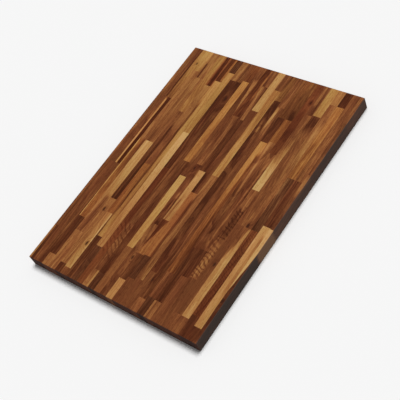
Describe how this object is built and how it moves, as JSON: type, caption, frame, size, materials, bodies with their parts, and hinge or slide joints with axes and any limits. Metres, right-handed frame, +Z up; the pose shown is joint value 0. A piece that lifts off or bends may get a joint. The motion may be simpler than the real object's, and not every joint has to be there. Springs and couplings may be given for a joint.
{
  "type": "butcher block countertop",
  "caption": "Rectangular edge-grain walnut countertop of finger-jointed staves glued in rows, planed flat, with eased edges.",
  "frame": {"origin": "centre of the underside", "axes": "+X along the grain and the length, +Y across the rows of staves, +Z up out of the worktop"},
  "size_m": [0.9144, 0.6604, 0.0444],
  "materials": {
    "oiled_walnut": "rubbed oil, satin"
  },
  "bodies": {
    "root": {"stave_row_01": "oiled_walnut", "stave_row_02": "oiled_walnut", "stave_row_03": "oiled_walnut", "stave_row_04": "oiled_walnut", "stave_row_05": "oiled_walnut", "stave_row_06": "oiled_walnut", "stave_row_07": "oiled_walnut", "stave_row_08": "oiled_walnut", "stave_row_09": "oiled_walnut", "stave_row_10": "oiled_walnut", "stave_row_11": "oiled_walnut", "stave_row_12": "oiled_walnut", "stave_row_13": "oiled_walnut", "stave_row_14": "oiled_walnut", "stave_row_15": "oiled_walnut", "stave_row_16": "oiled_walnut", "stave_row_17": "oiled_walnut", "stave_row_18": "oiled_walnut", "stave_row_19": "oiled_walnut", "stave_row_20": "oiled_walnut", "stave_row_21": "oiled_walnut", "stave_row_22": "oiled_walnut", "stave_row_23": "oiled_walnut", "stave_row_24": "oiled_walnut", "stave_row_25": "oiled_walnut", "stave_row_26": "oiled_walnut", "stave_row_27": "oiled_walnut", "stave_row_28": "oiled_walnut"}
  },
  "joints": []
}
